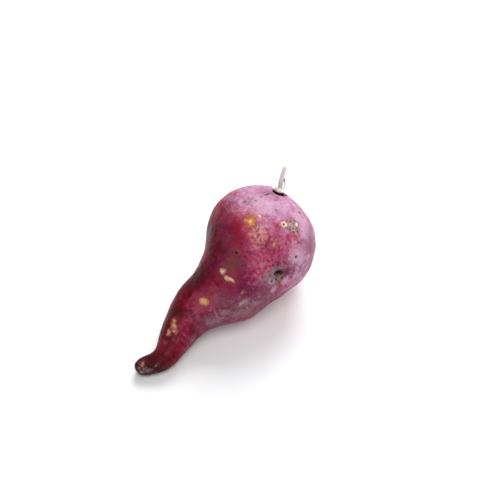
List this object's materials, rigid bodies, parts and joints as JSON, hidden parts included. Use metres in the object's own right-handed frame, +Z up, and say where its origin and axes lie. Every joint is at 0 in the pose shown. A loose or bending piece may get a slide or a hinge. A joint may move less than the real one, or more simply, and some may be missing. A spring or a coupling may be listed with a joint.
{
  "type": "sweet potato",
  "caption": "Raw sweet potato lying on its side: a round belly narrowing through a neck to a bent blunt tail, with its dried stalk standing in a socket on the crown.",
  "frame": {"origin": "centre of the bounding box's base, on the surface that the root lies on", "axes": "+X along the root from its tail to its crown, the longest extent; +Z up; +Y across it"},
  "size_m": [0.1614, 0.0812, 0.0898],
  "materials": {
    "skin": "satin",
    "stalk": "matte"
  },
  "bodies": {
    "root": {"storage_root": "skin", "stalk": "stalk"}
  },
  "joints": []
}
